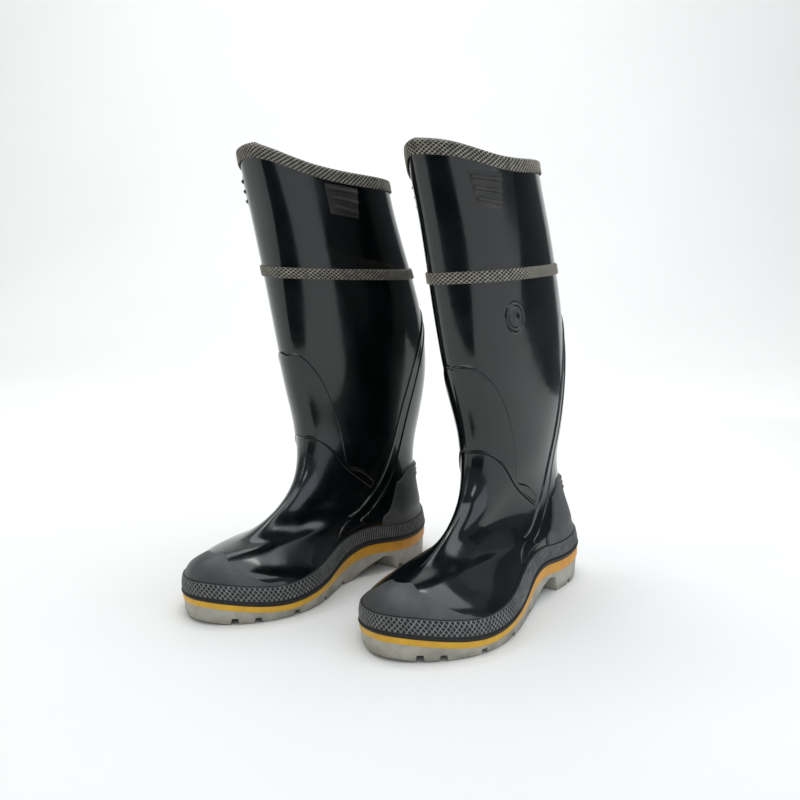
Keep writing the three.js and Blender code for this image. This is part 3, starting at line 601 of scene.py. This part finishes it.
# The foxing is crossed by fine raised lines round the toe and the heel, and they run together into
# upright ribs at the waist. A smooth lip closes it over the midsole.
def makeFoxing(boot):
    size = {"cells": 330, "samples": 6, "cell": 2.2, "rows": 36, "lip": 2.2, "ridge": 0.5}
    top = shape["foxingHeight"]
    phi, _ = evenTurns(boot, lambda p: soleEdge(p) + 8, 3, size["cells"] * size["samples"])
    u = (np.arange(len(phi)) / size["samples"])[:, None]
    rise = np.linspace(size["lip"] + 0.5, top, size["rows"])
    face = 3.0 - 0.5 * (rise / top) - 2.2 * smooth(rise, top - 1.1, top + 0.2)
    lipTurn = np.linspace(-0.5 * np.pi, 0.5 * np.pi, 9)
    lipRise = size["lip"] / 2 + size["lip"] / 2 * np.sin(lipTurn) - 0.2
    lip = 3.0 + 0.9 * np.cos(lipTurn)
    v = (rise - size["lip"]) / size["cell"]
    crossed = crossedRidges(u * 0.5, v * 0.5, 0.24)
    ribs = (0.5 + 0.5 * np.cos(2 * np.pi * u)) ** 1.5 + 0 * v
    a = forwardAt(phi, soleEdge(phi))[:, None]
    waist = smooth(a, 40, 62) * (1 - smooth(a, 195, 225))
    pattern = mix(crossed, ribs, waist) * smooth(rise, size["lip"] + 0.5, size["lip"] + 1.5)
    pattern = pattern * (1 - smooth(rise, top - 1.2, top - 0.4))
    heights = np.concatenate([[-2], lipRise, rise, [top, -2]])
    plain = np.zeros((len(phi), 1))
    lipRelief = np.zeros((len(phi), len(lipRise)))
    relief = np.concatenate([plain, lipRelief, pattern, plain, plain], axis=1)
    offsets = np.concatenate([[2.8], lip, face, [-0.6, -0.6]])
    z = soleEdge(phi)[:, None] + heights
    grid = onSkin(boot, phi[:, None], z, offsets + size["ridge"] * relief)
    return gridPiece("foxing", boot, grid, foxingRubber, ["foxing"], relief,
                     closeRows=True, sharp=75)


def makeBumper(boot):
    size = {"reach": 52, "crest": 55.5, "thick": 1.7, "edge": 1.6}
    u, v = bunched(110)[:, None], bunched(60)[None]
    phi = mix(-size["reach"], size["reach"], u) + 0 * v
    end = soleEdge(np.array(float(size["reach"]))) + shape["foxingHeight"]
    crest = mix(size["crest"], end, smooth(np.abs(phi), 12, size["reach"]) ** 1.3)
    low = foxingTop(phi) - 1.5
    z = mix(low, np.maximum(crest, low + 1), v)
    height = -0.3 + (size["thick"] + 0.3) * smooth(toEdge(boot, phi, z), 0, size["edge"])
    return patch("toeBumper", boot, phi, z, height, mattRubber, ["toe_bumper"])


counter = {
    "front": 110,  # degrees round the boot where the counter starts
    "lowTop": 86,  # height of its top there
    "highTop": 100,  # and behind the heel
    "thick": 1.8,
    "edge": 1.5,
    "pitch": 4.5,  # of the ribs
    "rib": 1.3,
}


def counterTop(phi):
    rise = smooth(180 - np.abs(180 - phi), counter["front"], 126)
    return mix(counter["lowTop"], counter["highTop"], rise)


def makeCounter(boot):
    u, v = bunched(150)[:, None], np.linspace(0, 1, 90)[None]
    phi = mix(counter["front"], 360 - counter["front"], u) + 0 * v
    z = mix(foxingTop(phi) - 1.5, counterTop(phi), v)
    height = -0.3 + (counter["thick"] + 0.3) * smooth(toEdge(boot, phi, z), 0, counter["edge"])
    drop = counterTop(phi) - z
    wave = 0.5 - 0.5 * np.cos(2 * np.pi * (drop - 1) / counter["pitch"])
    ends = smooth(180 - np.abs(180 - phi), 128, 138)
    within = smooth(drop, 0.8, 1.4) * (1 - smooth(drop, 14, 15))
    height = height + counter["rib"] * wave * ends * within
    return patch("heelCounter", boot, phi, z, height, mattRubber, ["heel_counter"])


def makeSpur(boot):
    size = {"half": 22, "low": 56.5, "high": 64.5, "reach": 7}
    u, v = bunched(40)[:, None], bunched(24)[None]
    phi = mix(180 - size["half"], 180 + size["half"], u) + 0 * v
    z = mix(size["low"], size["high"], v) + 0 * u
    d = toEdge(boot, phi, z)
    swell = smooth(size["half"] - np.abs(phi - 180), 0, 12)
    height = 0.5 + size["reach"] * swell * smooth(d, 0, 2.2)
    return patch("kickSpur", boot, phi, z, height, mattRubber, ["kick_spur"])


guardHigh = spline([0, 24, 34, 42, 48, 54, 70, 90], [221, 218, 206, 186, 155, 127, 107, 93])
guardLow = spline([0, 33, 54, 75, 91], [138, 132, 112, 95, 83])


def makeGuard(boot):
    size = {"reach": 91.5, "thick": 1.0, "edge": 1.6}
    u, v = bunched(150)[:, None], bunched(80)[None]
    phi = mix(-size["reach"], size["reach"], u) + 0 * v
    z = mix(guardLow(np.abs(phi)), guardHigh(np.abs(phi)), v)
    d = toEdge(boot, phi, z)
    height = -0.3 + (size["thick"] + 0.3) * smooth(d, 0, size["edge"])
    height = height + 0.35 * np.exp(-(((d - 2.2) / 0.9) ** 2))
    return patch("instepGuard", boot, phi, z, height, glossPvc, ["instep_guard"])


# The strap has a raised line along each edge.
def makeStrap(boot):
    size = {"width": 13, "thick": 0.5, "line": 0.75, "inset": 1.4}
    half = [[91, 42], [96, 66], [101, 96], [103, 130], [108, 168], [122, 212], [146, 246]]
    path = half + [[180, 256]] + [[360 - p, z] for p, z in half[::-1]]
    phi, z, across = bandAlong(boot, path, size["width"], np.linspace(0, 1, 260), bunched(34)[None])
    inset = size["width"] / 2 - np.abs(across)
    height = -0.3 + (size["thick"] + 0.3) * smooth(inset, 0, 1.2)
    t = np.linspace(0, 1, 260)[:, None]
    fade = smooth(t, 0.0, 0.05) * (1 - smooth(t, 0.95, 1.0))
    fade = fade * smooth(z - foxingTop(phi), 1, 7)
    height = height + size["line"] * np.exp(-(((inset - size["inset"]) / 0.75) ** 2)) * fade
    return patch("ankleStrap", boot, phi, z, height, glossPvc, ["ankle_strap"])


# The thin line that the mould leaves down the instep.
def makeSeam(boot):
    size = {"width": 1.8, "high": 0.45}
    phi, z, across = bandAlong(boot, [[0, 150], [0, 105], [0, 76], [0, 60]], size["width"],
                               np.linspace(0, 1, 90), np.linspace(0, 1, 9)[None])
    height = -0.2 + (size["high"] + 0.2) * np.cos(np.pi * across / size["width"])
    return patch("instepSeam", boot, phi, z, height, glossPvc, [])


# Height of rounded bars over the skin; each bar runs from one [phi, z] to another.
def barsOn(boot, bars, phi, z, width, high):
    here = skinPoint(boot, phi, z)
    height = np.zeros(phi.shape)
    for start, end in bars:
        a, b = skinPoint(boot, *start), skinPoint(boot, *end)
        t = np.clip(((here - a) @ (b - a)) / ((b - a) @ (b - a)), 0, 1)
        off = np.linalg.norm(here - (a + t[..., None] * (b - a)), axis=-1)
        height = np.maximum(height, high * np.sqrt(np.clip(1 - (off / (width / 2)) ** 2, 0, 1)))
    return height


gripTables = {
    "outer": {
        "turn": 1,
        "bars": [[[40, 371], [61, 367]], [[41, 362.5], [60, 358]], [[42, 354], [58, 349.5]]],
        "corners": [[39, 347.5], [59, 343.5], [37, 376.5], [64, 372.5]],
    },
    "inner": {
        "turn": -1,
        "bars": [[[69, 367], [89, 363]], [[71, 359], [88, 354.5]], [[72, 351], [86, 346]]],
        "corners": [[66, 344.5], [87, 340], [66, 371.5], [91, 367]],
    },
}


def makeGrips(boot):
    size = {"pad": 0.35, "bar": 1.9, "width": 3.2}
    for name, table in gripTables.items():
        turn = table["turn"]
        lowFront, lowBack, highFront, highBack = table["corners"]
        u, v = bunched(90)[:, None], np.linspace(0, 1, 110)[None]
        low = [mix(lowFront[i], lowBack[i], u) for i in (0, 1)]
        high = [mix(highFront[i], highBack[i], u) for i in (0, 1)]
        phi, z = turn * mix(low[0], high[0], v), mix(low[1], high[1], v)
        height = -0.3 + (size["pad"] + 0.3) * smooth(toEdge(boot, phi, z), 0, 1.5)
        bars = [[[turn * p, level] for p, level in bar] for bar in table["bars"]]
        height = height + barsOn(boot, bars, phi, z, size["width"], size["bar"])
        patch(f"{name}Grip", boot, phi, z, height, grainPvc, [f"{name}_grip"])


# A plain oval plaque: two raised rings round a low dome. The square grid is pulled into a disc.
def makeEmblem(boot):
    size = {"phi": 58, "z": 257, "wide": 24, "high": 30, "line": 0.8}
    x, y = np.meshgrid(np.linspace(-1, 1, 72), np.linspace(-1, 1, 72), indexing="ij")
    across, up = x * np.sqrt(1 - y * y / 2), y * np.sqrt(1 - x * x / 2)
    middle = skinPoint(boot, size["phi"], size["z"])
    degree = np.linalg.norm(skinPoint(boot, size["phi"] + 1, size["z"]) - middle)
    phi = size["phi"] + across * size["wide"] / 2 / degree
    z = size["z"] + up * size["high"] / 2
    r = np.sqrt(across**2 + up**2)
    ring = lambda at, width: np.exp(-(((r - at) / width) ** 2))
    height = -0.3 + 0.45 * smooth(1 - r, 0, 0.12)
    height = height + size["line"] * ring(0.86, 0.06) + 0.6 * size["line"] * ring(0.62, 0.05)
    height = height + 0.5 * (1 - smooth(r, 0.0, 0.42))
    return patch("emblem", boot, phi, z, height, glossPvc, ["emblem"])


ground = {
    "a": [-12, 4, 82, 86, 98, 122, 138, 272, 290, 300, 312],
    "z": [3, 0, 0, 14, 16, 7, 0, 0, 1.2, 3.5, 8],
    "heelBreast": [82, 82.7, 84, 85.3, 86],  # extra stations on the steep front of the heel block
}
notches = {
    "outer": [58, 151, 206, 248.5, 279, 291],
    "inner": [78, 153, 194, 235, 270, 285.5],
    "wide": 8.5,
    "narrow": 5.5,
    "tall": 5,
    "deep": 22,
    "taper": 0.7,  # the inner end's width as a share of the outer end's
}


stripeHeights = {"heel": 11.5, "toe": 6.8}


def underside(a):
    return np.interp(a, ground["a"], ground["z"])


def stripe(a):
    return mix(stripeHeights["heel"], stripeHeights["toe"], smooth(a, 140, 215))


# A layer of the sole is a closed section carried from heel to toe. Each station a has one point of the
# outline on either side; side rows go down from top to bottom, and both faces are ruled across.
def soleLayer(name, boot, top, bottom, sideOffset, material, node, across=12, sideRows=9, inset=0):
    dense = np.linspace(0, 180, 1501)
    lines = {}
    for sign in (1, -1):
        edge = onSkin(boot, sign * dense, soleEdge(dense), shape["flange"] - inset)
        lines[sign] = shape["soleLength"] / 2 - edge[:, 1]
    heel = max(lines[1].min(), lines[-1].min())
    toe = min(lines[1].max(), lines[-1].max())
    stations = mix(heel, toe, 0.5 + 0.5 * np.sin(np.linspace(-np.pi / 2, np.pi / 2, 200)))
    stations = np.unique(np.concatenate([stations, ground["heelBreast"]]))
    down = np.linspace(0, 1, sideRows)
    sides = {}
    for sign in (1, -1):
        phi = sign * np.interp(-stations, -lines[sign], dense)
        phi[0], phi[-1] = sign * 180, 0
        offset = shape["flange"] - inset + sideOffset(down)
        rail = onSkin(boot, phi[:, None], soleEdge(phi)[:, None], offset)
        a = shape["soleLength"] / 2 - rail[..., 1]
        rail[..., 2] = mix(top(a), bottom(a), down)
        sides[sign] = rail
    share = np.linspace(0, 1, across + 2)[1:-1, None]
    low = sides[1][:, None, -1] + (sides[-1][:, None, -1] - sides[1][:, None, -1]) * share
    low[..., 2] = bottom(shape["soleLength"] / 2 - low[..., 1])
    high = sides[-1][:, None, 0] + (sides[1][:, None, 0] - sides[-1][:, None, 0]) * share
    high[..., 2] = top(shape["soleLength"] / 2 - high[..., 1])
    grid = np.concatenate([sides[1], low, sides[-1][:, ::-1], high], axis=1)
    return gridPiece(name, boot, grid, material, [node], sharp=35)


def clampedLine(a):
    return soleLine(np.clip(a, 0, shape["soleLength"]))


def makeMidsole(boot):
    bulge = lambda t: 0.7 * np.sin(np.pi * t) ** 0.5 - 0.3
    return soleLayer("midsole", boot, clampedLine, lambda a: clampedLine(a) - stripe(a), bulge,
                     yellowRubber, "midsole")


# A wedge to be cut from the sole's edge at one place a: it narrows upwards and inwards.
def notchWedge(boot, sign, a):
    turns = sign * np.linspace(0, 180, 1501)
    edge = onSkin(boot, turns, soleEdge(turns), shape["flange"])
    i = int(np.argmin(np.abs(shape["soleLength"] / 2 - edge[:, 1] - a)))
    along = edge[i + 3] - edge[i - 3]
    along[2] = 0
    along /= np.linalg.norm(along)
    inwards = np.array([-along[1], along[0], 0])
    if inwards @ edge[i] > 0:
        inwards = -inwards
    start = edge[i] * [1, 1, 0]
    outside, under = 8, 5  # how far the wedge stands clear of the sole, so that it cuts right through
    section = [
        (0.6 * notches["wide"], -under),
        (0.5 * notches["wide"], 0),
        (0.5 * notches["narrow"], underside(a) + notches["tall"]),
    ]
    corners = []
    for reach, shrink in ((-outside, 1), (notches["deep"], notches["taper"])):
        for half, height in section:
            for way in (-1, 1):
                corner = start + inwards * reach + along * way * half * shrink
                corners.append(corner + np.array([0, 0, height]))
    work = bmesh.new()
    for corner in inFrame(boot, np.array(corners)):
        work.verts.new(corner)
    bmesh.ops.convex_hull(work, input=work.verts)
    bmesh.ops.recalc_face_normals(work, faces=work.faces)
    mesh = bpy.data.meshes.new("wedge")
    work.to_mesh(mesh)
    work.free()
    return mesh


# Cuts the wedges from a piece with exact booleans and keeps only the finished mesh.
def cutWedges(piece, wedges, sharp):
    cutters = []
    for mesh in wedges:
        cutter = bpy.data.objects.new("wedge", mesh)
        bpy.context.scene.collection.objects.link(cutter)
        modifier = piece.modifiers.new("cut", "BOOLEAN")
        modifier.object, modifier.operation, modifier.solver = cutter, "DIFFERENCE", "EXACT"
        cutters.append(cutter)
    bpy.context.view_layer.update()
    finished = bpy.data.meshes.new_from_object(piece.evaluated_get(bpy.context.evaluated_depsgraph_get()))
    piece.modifiers.clear()
    piece.data = finished
    finished.set_sharp_from_angle(angle=math.radians(sharp))
    for cutter in cutters:
        bpy.data.objects.remove(cutter)


def makeOutsole(boot):
    draft = lambda t: -0.7 - 1.2 * t - 0.8 * smooth(t, 0.85, 1.0)
    piece = soleLayer("outsole", boot, lambda a: clampedLine(a) - stripe(a) - 0.1, underside, draft,
                      greyRubber, "outsole", across=20, sideRows=12)
    wedges = [notchWedge(boot, 1, a) for a in notches["outer"]]
    wedges += [notchWedge(boot, -1, a) for a in notches["inner"]]
    cutWedges(piece, wedges, 35)


def makeInsole(boot):
    size = {
        "start": 7.2,  # above the midsole: plate, board and lining lie between
        "thick": 3.8,
        "inset": 8.5,  # from the skin to the insole's edge
    }
    edge = lambda t: 0.8 * np.sin(np.pi * t) ** 0.5 - 0.8
    top = lambda a: clampedLine(a) + size["start"] + size["thick"]
    bottom = lambda a: clampedLine(a) + size["start"]
    piece = soleLayer("insole", boot, top, bottom, edge, insoleFelt, "insole", across=16,
                      inset=shape["flange"] + size["inset"])


for boot in boots.values():
    makeUpper(boot)
    makeLining(boot)
    makeBinding(boot)
    makeBand(boot)
    makeFoxing(boot)
    print(boot["name"], "leg and trims made")
    makeBumper(boot)
    makeCounter(boot)
    makeSpur(boot)
    makeGuard(boot)
    makeStrap(boot)
    makeSeam(boot)
    makeGrips(boot)
    makeEmblem(boot)
    makeMidsole(boot)
    makeOutsole(boot)
    makeInsole(boot)
    for node, material in {
        "ladder_shank": steel,
        "steel_plate": steel,
        "steel_toe_cap": steel,
        "insole_board": fibreBoard,
        "toe_cap_edge": insoleFelt,
    }.items():
        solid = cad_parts[f"{boot['name']}_{node}"]
        solid.data.materials.clear()
        solid.data.materials.append(material)
    print(boot["name"], "boot finished")

camera = {
    "place": (0.541, -0.7445, 0.3141),
    "yaw": 35.4519,  # degrees, as pitch and roll
    "pitch": 9.4,
    "roll": -0.8,
    "lens": 46.8,
    "shift": (-0.0024, 0.0215),
}
studio = {
    "floor": "#f3f3f1",
    "floorSpots": "#f6f6f4",
    "world": "#dfe9ee",
    "worldStrength": 0.28,
    "front": -7,  # where the floor starts, in metres towards the camera
    "behind": 1.6,
    "bend": 1.2,
    "wall": 2.6,
    "half": 7,
}


# Points given across the view, away along it and up, turned by the camera's yaw.
def alongView(points):
    across, away, up = np.array(points, float).T
    yaw = math.radians(camera["yaw"])
    x = across * math.cos(yaw) - away * math.sin(yaw)
    y = across * math.sin(yaw) + away * math.cos(yaw)
    return np.stack([x, y, up], -1).tolist()


# The floor sweeps up behind the boots in one bend: flat, then a quarter circle, then a wall. It faces
# the camera, so it stands turned by the camera's yaw.
def makeFloor():
    turn = np.linspace(0, np.pi / 2, 25)
    behind, bend = studio["behind"], studio["bend"]
    away = np.concatenate([[studio["front"]], behind + bend * np.sin(turn), [behind + bend]])
    up = np.concatenate([[0], bend * (1 - np.cos(turn)), [studio["wall"] + bend]])
    points = [(across, r, z) for r, z in zip(away, up) for across in (-studio["half"], studio["half"])]
    faces = [(2 * i, 2 * i + 1, 2 * i + 3, 2 * i + 2) for i in range(len(away) - 1)]
    mesh = bpy.data.meshes.new("studioFloor")
    mesh.from_pydata(alongView(points), [], faces)
    mesh.polygons.foreach_set("use_smooth", np.ones(len(faces), bool))
    material, tree, shader, place = newMaterial("paleFloor")
    cloud = addNode(tree, "TexNoise", {"Vector": place, "Scale": 2, "Detail": 3}, "Fac")
    stops = [(0.3, studio["floor"]), (0.7, studio["floorSpots"])]
    colour = addNode(tree, "ValToRGB", {"Fac": cloud}, stops=stops)
    setInputs(tree, shader, {"Base Color": colour, "Roughness": 0.7, "Specular IOR Level": 0.2})
    mesh.materials.append(material)
    floor = bpy.data.objects.new("studioFloor", mesh)
    bpy.context.scene.collection.objects.link(floor)


# Cloths outside the view give the gloss its darker bands. Points are across the view, away along it
# and up, and the cloth's colour is a faint weave.
def makeCloth(name, points, dark, light):
    mesh = bpy.data.meshes.new(name)
    mesh.from_pydata(alongView(points), [], [tuple(range(len(points)))])
    material, tree, shader, place = newMaterial(name)
    weave = addNode(tree, "TexNoise", {"Vector": place, "Scale": 400, "Detail": 2}, "Fac")
    colour = addNode(tree, "ValToRGB", {"Fac": weave}, stops=[(0.3, dark), (0.7, light)])
    setInputs(tree, shader, {"Base Color": colour, "Roughness": 0.9})
    mesh.materials.append(material)
    cloth = bpy.data.objects.new(name, mesh)
    bpy.context.scene.collection.objects.link(cloth)


def makeWorld():
    world = bpy.data.worlds.new("studio")
    world.use_nodes = True
    background = world.node_tree.nodes["Background"]
    background.inputs["Color"].default_value = linear(studio["world"])
    background.inputs["Strength"].default_value = studio["worldStrength"]
    bpy.context.scene.world = world


def addLight(name, place, target, size, watts, colour):
    light = bpy.data.lights.new(name, "AREA")
    light.shape = "RECTANGLE"
    light.size, light.size_y = size
    light.energy = watts
    light.color = linear(colour)[:3]
    lamp = bpy.data.objects.new(name, light)
    bpy.context.scene.collection.objects.link(lamp)
    lamp.location = place
    lamp.rotation_euler = (Vector(target) - Vector(place)).to_track_quat("-Z", "Y").to_euler()


cloths = {
    "frontCloth": {
        "points": [(-0.3, -0.44, 0.002), (0.13, -0.44, 0.002), (0.45, -3, 0.002), (-2.8, -3, 0.002)],
        "dark": "#0b0b0c", "light": "#161617",
    },
    "sideCloth": {
        "points": [(1.15, 0.0, 0), (0.78, 0.85, 0), (0.78, 0.85, 0.75), (1.15, 0.0, 0.75)],
        "dark": "#4a4c4e", "light": "#5e6062",
    },
}
lights = {
    "overheadBox": {
        "place": (0.2, 0.1, 2.5), "target": (0, 0.1, 0), "size": (3.2, 3.2), "watts": 58, "colour": "#fbfdff",
    },
    "sideBox": {
        "place": (2.4, -0.1, 0.9), "target": (0, 0, 0.25), "size": (1.8, 1.7), "watts": 13, "colour": "#eaf3ff",
    },
    "stripLeft": {
        "place": (-0.9, -2.0, 1.0), "target": (0, 0, 0.2), "size": (0.22, 1.5), "watts": 5, "colour": "#fff6ea",
    },
    "windowFront": {
        "place": (1.5, -2.2, 1.5), "target": (0, 0, 0.15), "size": (0.5, 0.9), "watts": 7, "colour": "#f2f8ff",
    },
    "backWash": {
        "place": (-0.6, 0.3, 2.4), "target": (-1.7, 2.3, 0.8), "size": (2.4, 0.6),
        "watts": 30, "colour": "#ffffff",
    },
}
makeFloor()
makeWorld()
for name, cloth in cloths.items():
    makeCloth(name, **cloth)
for name, light in lights.items():
    addLight(name, **light)
print("floor, cloths and lights placed")

view = bpy.data.cameras.new("view")
view.lens = camera["lens"]
view.sensor_width = 36
view.shift_x, view.shift_y = camera["shift"]
eye = bpy.data.objects.new("view", view)
bpy.context.scene.collection.objects.link(eye)
eye.location = camera["place"]
eye.rotation_mode = "XYZ"
aim = Euler((math.radians(90 - camera["pitch"]), 0, math.radians(camera["yaw"]))).to_matrix()
eye.rotation_euler = (aim @ Matrix.Rotation(math.radians(camera["roll"]), 3, "Z")).to_euler()
bpy.context.scene.camera = eye
bpy.context.scene.view_settings.view_transform = "Standard"
print("camera placed")
